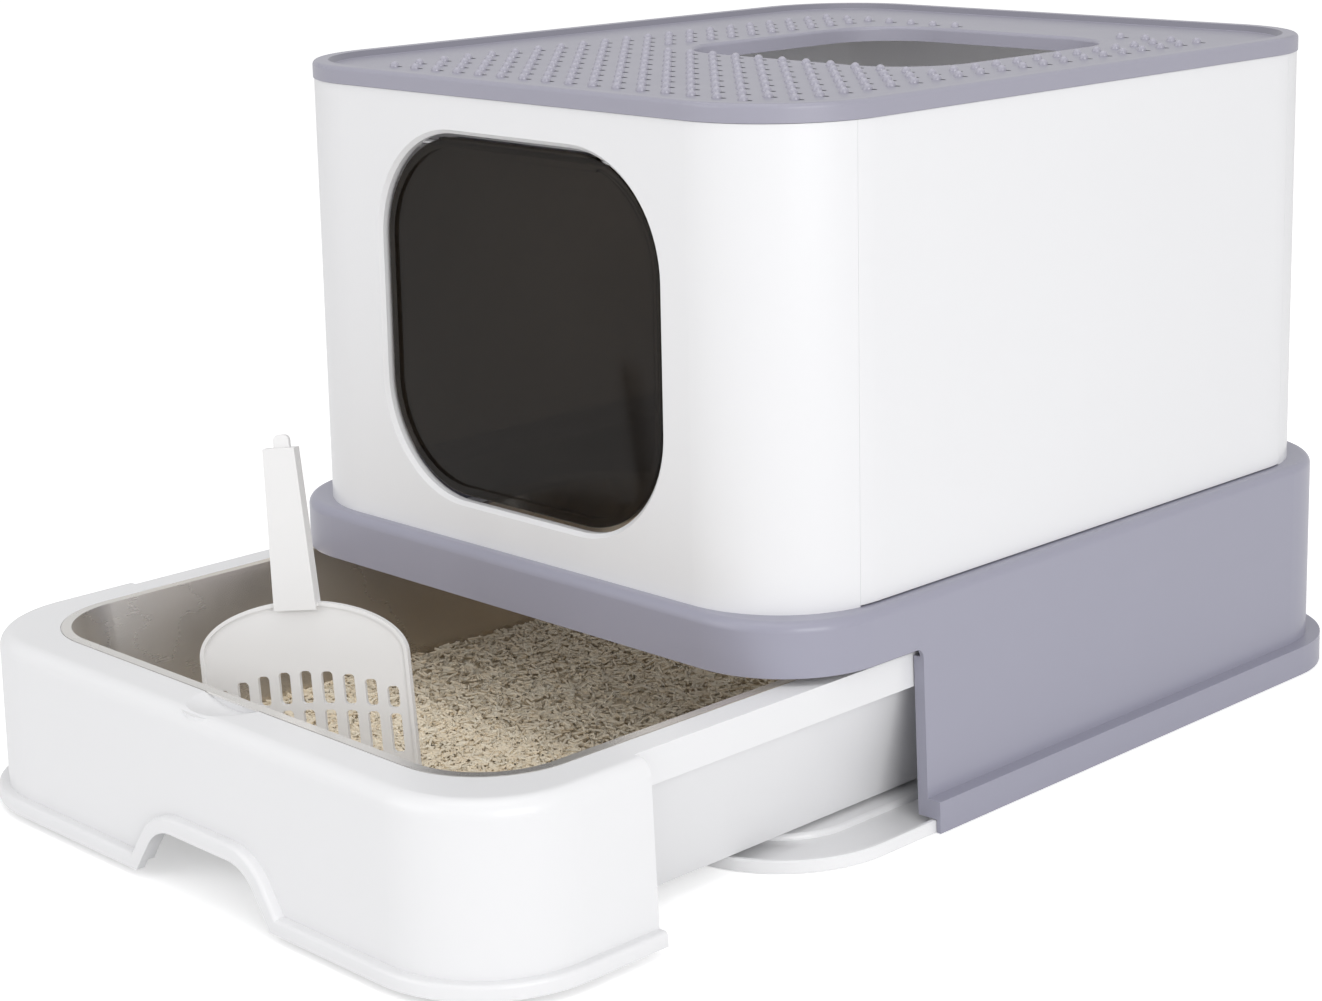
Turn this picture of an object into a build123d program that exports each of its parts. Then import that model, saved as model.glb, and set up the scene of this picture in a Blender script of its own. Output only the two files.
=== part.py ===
"""Drawer litter box: a panelled enclosure on a hollow base, with a drawer that holds a steel pan.

Millimetres. +Z is up, the window and the drawer face -Y, and the origin is on the floor under the middle of
the enclosure. The drawer is drawn pulled out to its stop, with the scoop standing in its litter.
"""
from build123d import *
from math import cos, radians, sin, sqrt
import os

os.makedirs("parts", exist_ok=True)

# ---------------------------------------------------------------- driving dimensions
# Enclosure: four panels with round corners
body_width = 398.0
body_depth = 478.0
body_corner = 65.0
panel_wall = 3.0
body_height = 242.2             # from the base to the top of the panels
seam_setback = 53.0            # from the front or rear face to the seam with the flat side panel
seam_gap = 0.12
side_lift = 0.8                # the flat side panels stand this far above the base

# Base shell
base_outset_side = 9.0         # outside of the base beyond the panels
base_outset_end = 8.0
base_corner = 60.0
base_height = 126.0
base_wall = 2.5
base_edge_round = 5.0
band_gap = 4.0                 # from the drawer's top to the underside of the band over it
flange_outset_side = 8.0       # beyond the base
flange_outset_end = 6.0
flange_corner = 64.0
flange_height = 17.0
ring_inset = 32.0              # from the base's outside to the opening down to the pan
ring_corner = 50.0
ring_plate = 3.0
locator_height = 8.0
locator_wall = 2.5
locator_clearance = 0.5
side_cut_inset = 97.0          # from the base's front to its side walls at the top, behind the drawer front
side_cut_slant = 4.0           # how far further back they stop at the floor
side_cut_round = 5.0
side_lip_depth = 4.0
side_lip_wall = 2.5

# Floor tray
tray_clearance = 0.5           # to the inside of the base flange
tray_outset = 10.0             # in front of the base
tray_corner = 70.0
tray_plate = 3.0
tray_lip_height = 6.5
tray_lip_wall = 3.5
plateau_inset = 32.0
plateau_corner = 45.0
plateau_height = 6.0
plateau_round = 2.4

# Runners under the drawer
runner_width = 21.0
runner_height = 1.7
runner_fence_wall = 3.0
runner_fence_height = 8.0
runner_length = 283.0
runner_front_y = -108.0
runner_inset = 4.5             # from the plateau's edge
running_gap = 0.3

# Screws from under the tray into the base
screw_radius = 1.5
screw_head_radius = 3.2
screw_head_height = 1.5
screw_recess = 0.3             # head below the tray's underside
screw_length = 16.0
screw_clearance = 0.05
boss_radius = 5.5
boss_height = 20.0
boss_inset = 8.5               # from the inside of the wall to the screw
side_screw_y = (-95.0, 60.0)
rear_screw_x = 120.0

# Drawer
travel = 194.0                 # how far the drawer is out in this drawing
drawer_top = 94.0
drawer_plate = 3.0
tub_floor_bottom = 8.0
tub_wall = 2.5
tub_fence_gap = 3.5            # from the tub's floor to the runners' fences
tub_ledge_gap = 3.0            # between the tub and the ledge round it
ledge_gap = 1.0                # from the ledge to the lips on the side walls
ledge_drop = 18.0
tub_rear_gap = 31.0            # behind the closed drawer
tub_corner = 60.0
front_overlap = 3.0            # sides of the wrap-round front beyond the base
front_outset = 10.0            # face of the closed front before the base
front_corner = 60.0
front_wall = 3.0
front_round = 8.0
wing_gap = 1.0                 # between the closed front's side wings and the base's side walls
skirt_step = 5.5
skirt_wall = 2.5
skirt_bottom = 4.0
skirt_height = 7.5
skirt_round = 2.0
notch_x = 13.0
notch_half_top = 36.0
notch_half_bottom = 55.0
notch_top = 31.0
notch_round = 24.0
notch_foot_round = 6.0
notch_band = 8.0               # raised band that follows the hand hole
recess_x = 2.0
recess_radius = 22.0
recess_depth = 5.0             # of the dish, at the pan's rim
recess_undercut = 1.0          # how far the dish runs in under the rim
stop_length = 8.0
stop_bottom = 16.0
stop_top = 34.0
stop_boss_gap = 3.5            # from the drawer's ears to the screw bosses
stop_overlap = 8.0             # of the drawer's ears and the enclosure's lugs
stop_inset = 8.5               # from the tub's rear corner to the ears
stop_gap = 0.3

# Steel pan
pan_inset_side = 15.5          # from the ledge to the rim
pan_inset_front = 26.0         # from the drawer's face to the rim
pan_inset_rear = 13.5
pan_corner = 50.0
pan_sheet = 1.0
pan_rim = 4.4
pan_rim_proud = 0.2            # above the drawer's top
pan_floor = 10.8               # underside
pan_taper_side = 18.0
pan_taper_end = 12.0
pan_floor_round = 9.0
pan_bearing = 2.8              # how far the rim overlaps the drawer's opening
rebate_clearance = 0.4
basin_top_front = 12.0         # from the pan's rim to the outside of the tub, at the top and at the floor
basin_low_front = 7.0
basin_top_rear = 4.5           # from the drawer's rear to the outside of the tub
basin_low_rear = 21.5
basin_top_corner = 58.0
basin_low_corner = 45.0

# Litter
litter_level = 18.0
litter_clearance = 0.3

# Lid
lid_overhang = 1.0             # beyond the panels
lid_corner = 67.0
lid_seat_gap = 0.3
lid_height = 9.5
lid_edge_round = 2.5
rim_width = 9.0
rim_slope = 2.0                # run of the rim's inner side
deck_sink = 3.5                # from the rim down to the deck
deck_plate = 3.0
hole_x = 19.0
hole_y = 50.0
hole_width = 194.0
hole_depth = 192.0
hole_corner = 45.0
collar_wall = 3.0
collar_drop = 9.0
collar_round = 2.0
lid_skirt_drop = 10.0
lid_skirt_wall = 2.5
lid_skirt_clearance = 0.6

# Window and its flap
window_x = 5.0
window_rise = 122.0            # from the base to the middle of the window
window_width = 216.0
window_height = 200.0
window_corner = 62.0
window_bevel = 2.2
reveal_depth = 6.0             # from the front of the panel
reveal_wall = 3.0
flap_clearance = 2.5
flap_rim_width = 5.0
flap_rim_depth = 5.0
flap_sheet = 2.0
flap_setback = 4.0             # from the front of the panel to the front of the flap
hinge_drop = 4.0               # from the top of the flap to its axis
hinge_boss_radius = 4.0
hinge_boss_outset = 2.9        # from the window's outline, at the axis, to the inner end of each boss
hinge_boss_length = 8.5
hinge_boss_cap = 1.5
pin_radius = 1.5
pin_clearance = 0.05
pin_end_gap = 0.3
flap_edge_round = 1.0

# Clips behind the seams
clip_width = 26.0
clip_height = 34.0
clip_wall = 2.5
clip_rises = (49.0, 184.0)     # above the base

# Scoop
scoop_x = -16.9
scoop_inset = 63.8             # from the pan's front
scoop_rise = 7.2               # middle of the blade's bottom edge above the litter
scoop_turn = 26.0              # degrees from facing the front towards +X
scoop_roll = 6.75               # degrees, in its own plane
scoop_lean = 6.0               # degrees, top to the rear
blade_width = 118.0
blade_shoulder = 70.0          # where the straight sides end
blade_height = 98.0
blade_wall = 2.2
blade_rim_wall = 2.0
blade_rim_height = 3.4
slot_pitch = 12.1
slot_width = 6.5
slot_round = 2.2
slot_columns = 9
slot_rows = (19.0, 42.0, 45.0, 62.0)
slot_bend = (3.0, 9.0)         # how far the outer slots are drawn down
handle_width_low = 24.0
handle_width_high = 18.0
handle_length = 79.0
handle_depth = 6.0
handle_wall = 2.2
handle_root = 4.0              # how far the handle runs down over the blade
tab_width = 9.0
tab_length = 6.5

# ---------------------------------------------------------------- places that follow from them
base_width = body_width + 2 * base_outset_side
base_depth = body_depth + 2 * base_outset_end
flange_width = base_width + 2 * flange_outset_side
flange_depth = base_depth + 2 * flange_outset_end
ring_width = base_width - 2 * ring_inset
ring_depth = base_depth - 2 * ring_inset
band_bottom = drawer_top + band_gap
side_cut_y = -base_depth / 2 + side_cut_inset
body_top = base_height + body_height
front_face = -body_depth / 2
inner_side = body_width / 2 - panel_wall
base_inner_side = base_width / 2 - base_wall
base_inner_rear = base_depth / 2 - base_wall
flange_inner_side = flange_width / 2 - base_wall
flange_inner_rear = flange_depth / 2 - base_wall
side_seam_y = body_depth / 2 - seam_setback
tray_half = flange_inner_side - tray_clearance
tray_front_y = -base_depth / 2 - tray_outset
tray_rear_y = flange_inner_rear - tray_clearance
tray_mid_y = (tray_front_y + tray_rear_y) / 2
tray_length = tray_rear_y - tray_front_y
runner_top = tub_floor_bottom - running_gap
runner_outer = tray_half - plateau_inset - runner_inset
tub_half_bottom = runner_outer - runner_fence_wall - tub_fence_gap     # outside, at the floor
ledge_half = base_inner_side - side_lip_depth - ledge_gap
tub_half_top = ledge_half - tub_wall - tub_ledge_gap     # outside, under the top plate
tub_rear_y = base_inner_rear - tub_rear_gap              # with the drawer closed, as the next three
front_y = -base_depth / 2 - front_outset
pan_front_y = front_y + pan_inset_front
pan_rear_y = tub_rear_y - pan_inset_rear
front_half = base_width / 2 + front_overlap
pan_half = ledge_half - pan_inset_side
drawer_shift = -travel
lid_width = body_width + 2 * lid_overhang
lid_depth = body_depth + 2 * lid_overhang
lid_bottom = body_top + lid_seat_gap
lid_top = lid_bottom + lid_height
deck_top = lid_top - deck_sink
window_z = base_height + window_rise
hinge_z = window_z + window_height / 2 - flap_clearance - hinge_drop
hinge_y = front_face + flap_setback + flap_rim_depth / 2
hinge_level = window_corner - flap_clearance - hinge_drop    # above the middles of the top corners
hinge_boss_x = (window_width / 2 - window_corner + hinge_boss_outset
                + sqrt(window_corner ** 2 - hinge_level ** 2))
pin_half_length = hinge_boss_x + hinge_boss_length - hinge_boss_cap - pin_end_gap
flap_bar_width = window_width - 2 * window_corner + 30.0
pan_top = drawer_top + pan_rim_proud
stop_reach = base_inner_side - boss_inset - boss_radius - stop_boss_gap    # outer edge of the drawer's ears
stop_inner = stop_reach - stop_overlap                         # inner edge of the enclosure's lugs
stop_ear_y = tub_rear_y - tub_corner - stop_inset + drawer_shift
stop_lug_y = stop_ear_y - stop_gap - stop_length
boss_wall = 1.5
pilot_depth = 14.0
pan_mid_y = (pan_front_y + pan_rear_y) / 2 + drawer_shift
pan_length = pan_rear_y - pan_front_y
scoop_y = pan_front_y + drawer_shift + scoop_inset
scoop_z = litter_level + scoop_rise


def rounded_block(width, depth, corner, z_low, z_high, x=0.0, y=0.0):
    """A solid with a rounded rectangle for its outline, between two levels."""
    with BuildPart() as block:
        with BuildSketch(Plane.XY.offset(z_low)):
            with Locations((x, y)):
                RectangleRounded(width, depth, corner)
        extrude(amount=z_high - z_low)
    return block.part


def tapered_block(low, high, z_low, z_high):
    """A solid between two rounded rectangles, each given as width, depth, corner and middle y."""
    with BuildPart() as block:
        for (width, depth, corner, y), z in ((low, z_low), (high, z_high)):
            with BuildSketch(Plane.XY.offset(z)):
                with Locations((0, y)):
                    RectangleRounded(width, depth, corner)
        loft(ruled=True)
    return block.part


def save(piece, name):
    """Label a finished piece and write it under the same name."""
    piece.part.label = name
    export_step(piece.part, f"parts/{name}.step")
    return piece.part


# ---------------------------------------------------------------- floor tray
screw_places = [(side * (base_inner_side - boss_inset), y) for side in (-1, 1) for y in side_screw_y]
screw_places += [(side * rear_screw_x, base_inner_rear - boss_inset) for side in (-1, 1)]

with BuildPart() as floor_tray:
    with BuildSketch():
        with Locations((0, tray_mid_y)):
            RectangleRounded(2 * tray_half, tray_length, tray_corner)
    extrude(amount=tray_lip_height)
    with BuildSketch(Plane.XY.offset(tray_plate)):
        with Locations((0, tray_mid_y)):
            RectangleRounded(2 * (tray_half - tray_lip_wall), tray_length - 2 * tray_lip_wall,
                             tray_corner - tray_lip_wall)
    extrude(amount=tray_lip_height - tray_plate, mode=Mode.SUBTRACT)
    lip_edges = floor_tray.edges().filter_by(lambda e: abs(e.center().Z - tray_lip_height) < 0.01)
    chamfer(lip_edges, 0.8)
    plateau = rounded_block(2 * (tray_half - plateau_inset), tray_length - 2 * plateau_inset, plateau_corner,
                            tray_plate, plateau_height, y=tray_mid_y)
    add(plateau.fillet(plateau_round, plateau.edges().group_by(Axis.Z)[-1]))
    with Locations([(x, y, 0) for x, y in screw_places]):
        Hole(screw_radius + screw_clearance)
        Cylinder(screw_head_radius + screw_clearance, screw_recess + screw_head_height,
                 align=(Align.CENTER, Align.CENTER, Align.MIN), mode=Mode.SUBTRACT)
save(floor_tray, "floor_tray")

# ---------------------------------------------------------------- screws
with BuildPart() as base_screws:
    for x, y in screw_places:
        with Locations((x, y, screw_recess)):
            Cylinder(screw_head_radius, screw_head_height, align=(Align.CENTER, Align.CENTER, Align.MIN))
            Cylinder(screw_radius, screw_length, align=(Align.CENTER, Align.CENTER, Align.MIN))
        with Locations((x, y, screw_recess)):
            Box(3.6, 0.7, 0.8, align=(Align.CENTER, Align.CENTER, Align.MIN), mode=Mode.SUBTRACT)
            Box(0.7, 3.6, 0.8, align=(Align.CENTER, Align.CENTER, Align.MIN), mode=Mode.SUBTRACT)
save(base_screws, "base_screws")

# ---------------------------------------------------------------- base shell
base_edge = rounded_block(base_width, base_depth, base_corner, flange_height - base_wall, base_height)
base_edge = base_edge.fillet(base_edge_round, base_edge.edges().group_by(Axis.Z)[-1])
locator_half_x = inner_side - locator_clearance
locator_half_y = body_depth / 2 - panel_wall - locator_clearance
locator_corner = body_corner - panel_wall - locator_clearance


def side_cut(z):
    """Where the side walls of the base begin at a level: further back towards the floor."""
    return side_cut_y + side_cut_slant * (band_bottom - z) / band_bottom


with BuildPart() as base_shell:
    add(base_edge)
    add(rounded_block(flange_width, flange_depth, flange_corner, 0, flange_height))
    add(rounded_block(2 * flange_inner_side, 2 * flange_inner_rear, flange_corner - base_wall,
                      0, flange_height - base_wall), mode=Mode.SUBTRACT)
    add(rounded_block(2 * base_inner_side, 2 * base_inner_rear, base_corner - base_wall,
                      0, base_height - ring_plate), mode=Mode.SUBTRACT)
    add(rounded_block(2 * locator_half_x, 2 * locator_half_y, locator_corner,
                      base_height - ring_plate, base_height + locator_height))
    add(rounded_block(2 * (locator_half_x - locator_wall), 2 * (locator_half_y - locator_wall),
                      locator_corner - locator_wall, base_height, base_height + locator_height),
        mode=Mode.SUBTRACT)
    add(rounded_block(ring_width, ring_depth, ring_corner, base_height - ring_plate, base_height),
        mode=Mode.SUBTRACT)
    with BuildSketch(Plane.YZ):
        with BuildLine():
            Polyline((-flange_depth, band_bottom), (side_cut(band_bottom), band_bottom),
                     (side_cut(0) + side_cut_slant / band_bottom, -1.0), (-flange_depth, -1.0), close=True)
        make_face()
        inner_corner = vertices().sort_by(lambda v: (v.X - side_cut(band_bottom)) ** 2
                                          + (v.Y - band_bottom) ** 2)[0]
        fillet(inner_corner, side_cut_round)
    extrude(amount=flange_width, both=True, mode=Mode.SUBTRACT)
    # an inward lip down the front edge of each side wall
    lip_low = flange_height - base_wall
    lip_high = band_bottom - side_cut_round
    for side in (-1, 1):
        with BuildSketch(Plane.YZ.offset(side * (base_inner_side + base_wall / 2))):
            with BuildLine():
                Polyline((side_cut(lip_low), lip_low), (side_cut(lip_high), lip_high),
                         (side_cut(lip_high) + side_lip_wall, lip_high),
                         (side_cut(lip_low) + side_lip_wall, lip_low), close=True)
            make_face()
        extrude(amount=-side * (side_lip_depth + base_wall / 2))
    # a web that closes the front end of the flange above the tray's lip
    end_low = tray_lip_height + tray_clearance
    end_high = flange_height - base_wall / 2
    end_outer = flange_inner_side + base_wall / 2
    for side in (-1, 1):
        with BuildSketch(Plane.YZ.offset(side * end_outer)):
            with BuildLine():
                Polyline((side_cut(end_low), end_low), (side_cut(end_high), end_high),
                         (side_cut(end_high) + side_lip_wall, end_high),
                         (side_cut(end_low) + side_lip_wall, end_low), close=True)
            make_face()
        extrude(amount=-side * (end_outer - base_inner_side + side_lip_depth))
    # lugs that stop the drawer
    for side in (-1, 1):
        with Locations((side * stop_inner, stop_lug_y, stop_bottom)):
            Box(base_inner_side + base_wall / 2 - stop_inner, stop_length, stop_top - stop_bottom,
                align=(Align.MIN if side > 0 else Align.MAX, Align.MIN, Align.MIN))
    # screw bosses, each tied to the wall beside it
    for x, y in screw_places:
        with Locations((x, y, tray_plate)):
            Cylinder(boss_radius, boss_height, align=(Align.CENTER, Align.CENTER, Align.MIN))
        web_bottom = flange_height - base_wall
        web_height = tray_plate + boss_height - web_bottom
        rear = abs(x) < base_inner_side - boss_inset
        with Locations((x, y, web_bottom)):
            if rear:
                Box(2 * boss_wall, boss_inset + base_wall / 2, web_height,
                    align=(Align.CENTER, Align.MIN, Align.MIN))
            else:
                Box(boss_inset + base_wall / 2, 2 * boss_wall, web_height,
                    align=(Align.MIN if x > 0 else Align.MAX, Align.CENTER, Align.MIN))
    for x, y in screw_places:
        with Locations((x, y, tray_plate)):
            Cylinder(screw_radius + screw_clearance, pilot_depth,
                     align=(Align.CENTER, Align.CENTER, Align.MIN), mode=Mode.SUBTRACT)
save(base_shell, "base_shell")

# ---------------------------------------------------------------- runners
for side, name in ((-1, "left_runner"), (1, "right_runner")):
    with BuildPart() as runner:
        base_x = side * (runner_outer - runner_width / 2)
        with Locations((base_x, runner_front_y + runner_length / 2, plateau_height)):
            Box(runner_width, runner_length, runner_height, align=(Align.CENTER, Align.CENTER, Align.MIN))
        fence_x = side * (runner_outer - runner_fence_wall / 2)
        with Locations((fence_x, runner_front_y + runner_length / 2, plateau_height)):
            Box(runner_fence_wall, runner_length, runner_fence_height,
                align=(Align.CENTER, Align.CENTER, Align.MIN))
        fillet(runner.edges().group_by(Axis.Z)[-1].filter_by(Axis.Y), 1.0)
    save(runner, name)

# ---------------------------------------------------------------- panels
panel_ring = rounded_block(body_width, body_depth, body_corner, base_height, body_top)
panel_ring -= rounded_block(body_width - 2 * panel_wall, body_depth - 2 * panel_wall,
                            body_corner - panel_wall, base_height, body_top)


def slab(y_low, y_high, z_low, z_high, x_low=-flange_width, x_high=flange_width):
    """A plain box between levels, for cutting a piece out of a ring."""
    with BuildPart() as box:
        with Locations((x_low, y_low, z_low)):
            Box(x_high - x_low, y_high - y_low, z_high - z_low, align=(Align.MIN, Align.MIN, Align.MIN))
    return box.part


with BuildPart() as front_panel:
    add(panel_ring)
    add(slab(-side_seam_y, body_depth, 0, lid_top), mode=Mode.SUBTRACT)
    with BuildSketch(Plane.XZ.offset(-front_face - panel_wall)):
        with Locations((window_x, window_z)):
            RectangleRounded(window_width + 2 * reveal_wall, window_height + 2 * reveal_wall,
                             window_corner + reveal_wall)
    extrude(amount=-(reveal_depth - panel_wall))
    # bosses for the ends of the flap's pin, outside the window's outline
    for side in (-1, 1):
        with BuildSketch(Plane.YZ.offset(window_x + side * hinge_boss_x)):
            with Locations((hinge_y, hinge_z)):
                Circle(hinge_boss_radius)
        extrude(amount=side * hinge_boss_length)
    with BuildSketch(Plane.XZ.offset(-front_face)):
        with Locations((window_x, window_z)):
            RectangleRounded(window_width, window_height, window_corner)
    extrude(amount=-(2 * (hinge_y - front_face) + hinge_boss_radius), mode=Mode.SUBTRACT)
    with BuildSketch(Plane.YZ.offset(window_x)):
        with Locations((hinge_y, hinge_z)):
            Circle(pin_radius + pin_clearance)
    extrude(amount=pin_half_length + pin_end_gap, both=True, mode=Mode.SUBTRACT)
    rim_edges = front_panel.edges().filter_by(
        lambda e: abs(e.center().Y - front_face) < 0.01
        and abs(e.center().X - window_x) < window_width / 2 + 1
        and abs(e.center().Z - window_z) < window_height / 2 + 1)
    chamfer(rim_edges, window_bevel)
save(front_panel, "front_panel")

with BuildPart() as rear_panel:
    add(panel_ring)
    add(slab(-body_depth, side_seam_y, 0, lid_top), mode=Mode.SUBTRACT)
save(rear_panel, "rear_panel")

side_end = side_seam_y - seam_gap
for side, name in ((-1, "left_panel"), (1, "right_panel")):
    with BuildPart() as side_panel:
        add(panel_ring)
        low_x = min(0, side * body_width)
        add(slab(-side_end, side_end, base_height + side_lift, body_top, low_x, low_x + body_width),
            mode=Mode.INTERSECT)
    save(side_panel, name)

# ---------------------------------------------------------------- clips behind the seams
clip_ring = rounded_block(body_width - 2 * panel_wall, body_depth - 2 * panel_wall, body_corner - panel_wall,
                          base_height, body_top)
clip_inset = panel_wall + clip_wall
clip_ring -= rounded_block(body_width - 2 * clip_inset, body_depth - 2 * clip_inset,
                           body_corner - clip_inset, base_height, body_top)
for end, end_name in ((-1, "front"), (1, "rear")):
    for side, side_name in ((-1, "left"), (1, "right")):
        with BuildPart() as clips:
            for rise in clip_rises:
                level = base_height + rise
                seam_y = end * side_seam_y
                piece = clip_ring & slab(seam_y - clip_width / 2, seam_y + clip_width / 2,
                                         level - clip_height / 2, level + clip_height / 2,
                                         min(0, side * body_width), max(0, side * body_width))
                add(piece)
        save(clips, f"{end_name}_{side_name}_clips")

# ---------------------------------------------------------------- lid
lid_skirt_half_x = inner_side - lid_skirt_clearance
lid_skirt_half_y = body_depth / 2 - panel_wall - lid_skirt_clearance
lid_skirt_corner = body_corner - panel_wall - lid_skirt_clearance
deck_bottom = deck_top - deck_plate
lid_block = rounded_block(lid_width, lid_depth, lid_corner, lid_bottom, lid_top)
lid_block = lid_block.fillet(lid_edge_round, lid_block.edges().group_by(Axis.Z)[-1])

with BuildPart() as lid_frame:
    add(lid_block)
    deck_inset = rim_width + rim_slope
    add(tapered_block((lid_width - 2 * deck_inset, lid_depth - 2 * deck_inset, lid_corner - deck_inset, 0),
                      (lid_width - 2 * rim_width, lid_depth - 2 * rim_width, lid_corner - rim_width, 0),
                      deck_top, lid_top), mode=Mode.SUBTRACT)
    add(rounded_block(2 * lid_skirt_half_x, 2 * lid_skirt_half_y, lid_skirt_corner,
                      lid_bottom - lid_skirt_drop, deck_bottom))
    add(rounded_block(2 * (lid_skirt_half_x - lid_skirt_wall), 2 * (lid_skirt_half_y - lid_skirt_wall),
                      lid_skirt_corner - lid_skirt_wall, lid_bottom - lid_skirt_drop, deck_bottom),
        mode=Mode.SUBTRACT)
    add(rounded_block(hole_width + 2 * collar_wall, hole_depth + 2 * collar_wall, hole_corner + collar_wall,
                      deck_top - collar_drop, deck_top, hole_x, hole_y))
    add(rounded_block(hole_width, hole_depth, hole_corner,
                      deck_top - collar_drop, deck_top, hole_x, hole_y), mode=Mode.SUBTRACT)
    collar_edges = lid_frame.edges().filter_by(
        lambda e: abs(e.center().Z - deck_top) < 0.01 and abs(e.center().X - hole_x) < hole_width / 2 + 1
        and abs(e.center().Y - hole_y) < hole_depth / 2 + 1)
    fillet(collar_edges, collar_round)
save(lid_frame, "lid_frame")

# ---------------------------------------------------------------- flap and its pin
flap_front = front_face + flap_setback
with BuildPart() as entry_flap:
    with BuildSketch(Plane.XZ.offset(-flap_front)):
        with Locations((window_x, window_z)):
            RectangleRounded(window_width - 2 * flap_clearance, window_height - 2 * flap_clearance,
                             window_corner - flap_clearance)
    extrude(amount=-flap_rim_depth)
    fillet(entry_flap.edges().filter_by(lambda e: abs(e.center().Y - flap_front) < 0.01), flap_edge_round)
    flap_pocket = (flap_rim_depth - flap_sheet) / 2
    inset = flap_clearance + flap_rim_width
    for start, depth in ((flap_front, flap_pocket), (flap_front + flap_rim_depth - flap_pocket, flap_pocket)):
        with BuildSketch(Plane.XZ.offset(-start)):
            with Locations((window_x, window_z)):
                RectangleRounded(window_width - 2 * inset, window_height - 2 * inset, window_corner - inset)
        extrude(amount=-depth, mode=Mode.SUBTRACT)
    # the top bar holds the pin
    with BuildSketch(Plane.XZ.offset(-flap_front - flap_edge_round)):
        with Locations((window_x, hinge_z + hinge_drop - flap_edge_round)):
            Rectangle(flap_bar_width, 2 * hinge_drop, align=(Align.CENTER, Align.MAX))
    extrude(amount=-(flap_rim_depth - flap_edge_round))
    with BuildSketch(Plane.YZ.offset(window_x)):
        with Locations((hinge_y, hinge_z)):
            Circle(pin_radius + pin_clearance)
    extrude(amount=window_width / 2, both=True, mode=Mode.SUBTRACT)
save(entry_flap, "entry_flap")

with BuildPart() as flap_pin:
    with BuildSketch(Plane.YZ.offset(window_x)):
        with Locations((hinge_y, hinge_z)):
            Circle(pin_radius)
    extrude(amount=pin_half_length, both=True)
save(flap_pin, "flap_pin")

# ---------------------------------------------------------------- drawer
def out(y):
    """A place along the drawer, given with the drawer closed, in this drawing."""
    return y + drawer_shift


def front_block(half, front, corner, z_low, z_high):
    """A block with the outline of the drawer's front, running back well past its wings."""
    length = side_cut_y - front + 2 * corner
    return rounded_block(2 * half, length, corner, z_low, z_high, y=out(front) + length / 2)


skirt_half = front_half + skirt_step
skirt_front = front_y - skirt_step
skirt_corner = front_corner + skirt_step
skirt_top = skirt_bottom + skirt_height
skirt_under = skirt_top - skirt_wall
cowl_outer = front_block(front_half, front_y, front_corner, skirt_under, drawer_top)
cowl_outer = cowl_outer.fillet(front_round, cowl_outer.edges().group_by(Axis.Z)[-1])
cowl_inner = front_block(front_half - front_wall, front_y + front_wall, front_corner - front_wall,
                         skirt_under, drawer_top - drawer_plate)
cowl_inner = cowl_inner.fillet(front_round - front_wall, cowl_inner.edges().group_by(Axis.Z)[-1])


def hand_notch(margin):
    """The outline of the hand hole in the drawer's front, or the same shape grown by a margin."""
    flank = (notch_half_bottom - notch_half_top) / (notch_top - skirt_bottom)
    reach = notch_half_bottom + flank * (notch_top + skirt_bottom)
    with BuildSketch(Plane.XZ.offset(-out(skirt_front))) as outline:
        with BuildLine():
            Polyline((notch_x - reach, -notch_top), (notch_x - notch_half_top, notch_top),
                     (notch_x + notch_half_top, notch_top), (notch_x + reach, -notch_top), close=True)
        make_face()
        fillet(outline.vertices().group_by(Axis.Z)[-1], notch_round)
        if margin:
            offset(amount=margin, kind=Kind.ARC)
        else:
            with Locations((notch_x, skirt_bottom)):
                Rectangle(2 * (notch_half_bottom + 2 * notch_foot_round), notch_top + skirt_bottom,
                          align=(Align.CENTER, Align.MAX))
            feet = outline.vertices().filter_by(
                lambda v: abs(v.Z - skirt_bottom) < 0.01 and abs(v.X - notch_x) < notch_half_bottom + 1.0)
            fillet(feet, notch_foot_round)
    return outline.sketch


skirt = front_block(skirt_half, skirt_front, skirt_corner, skirt_bottom, skirt_top)
skirt = skirt.fillet(skirt_round, skirt.edges().group_by(Axis.Z)[-1])
band = extrude(hand_notch(notch_band), amount=-(skirt_step + front_wall / 2))
band = band.fillet(skirt_round, band.edges().group_by(Axis.Y)[0])

with BuildPart() as cowl:
    add(cowl_outer)
    add(skirt)
    add(cowl_inner, mode=Mode.SUBTRACT)
    add(front_block(skirt_half - skirt_wall, skirt_front + skirt_wall, skirt_corner - skirt_wall,
                    skirt_bottom, skirt_under), mode=Mode.SUBTRACT)
    # the band that follows the hand hole
    add(band & slab(-2 * body_depth, body_depth, skirt_under, drawer_top))
    legs = extrude(hand_notch(skirt_wall), amount=-(skirt_step - 0.5), mode=Mode.PRIVATE)
    add(legs & slab(-2 * body_depth, body_depth, skirt_bottom, skirt_top))
    extrude(hand_notch(0), amount=-3 * skirt_step, mode=Mode.SUBTRACT)
    # the wings end just ahead of the base's side walls
    with BuildSketch(Plane.YZ):
        with BuildLine():
            Polyline((out(side_cut(drawer_top) - wing_gap), drawer_top), (out(0), drawer_top + 1.0),
                     (out(0), -1.0), (out(side_cut(0) - wing_gap), 0), close=True)
        make_face()
    extrude(amount=flange_width, both=True, mode=Mode.SUBTRACT)



def basin_outline(half, corner, front, rear):
    """One level of the tub's outside, between a front and a rear that are given with the drawer closed."""
    return (2 * half, rear - front, corner, out((front + rear) / 2))


basin_low = basin_outline(tub_half_bottom, basin_low_corner, pan_front_y + basin_low_front,
                          tub_rear_y - basin_low_rear)
basin_high = basin_outline(tub_half_top, basin_top_corner, pan_front_y - basin_top_front,
                           tub_rear_y - basin_top_rear)
basin_under = drawer_top - drawer_plate


def inset_outline(outline, amount):
    """A rounded outline drawn in by an amount on every side."""
    width, depth, corner, y = outline
    return (width - 2 * amount, depth - 2 * amount, corner - amount, y)


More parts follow.
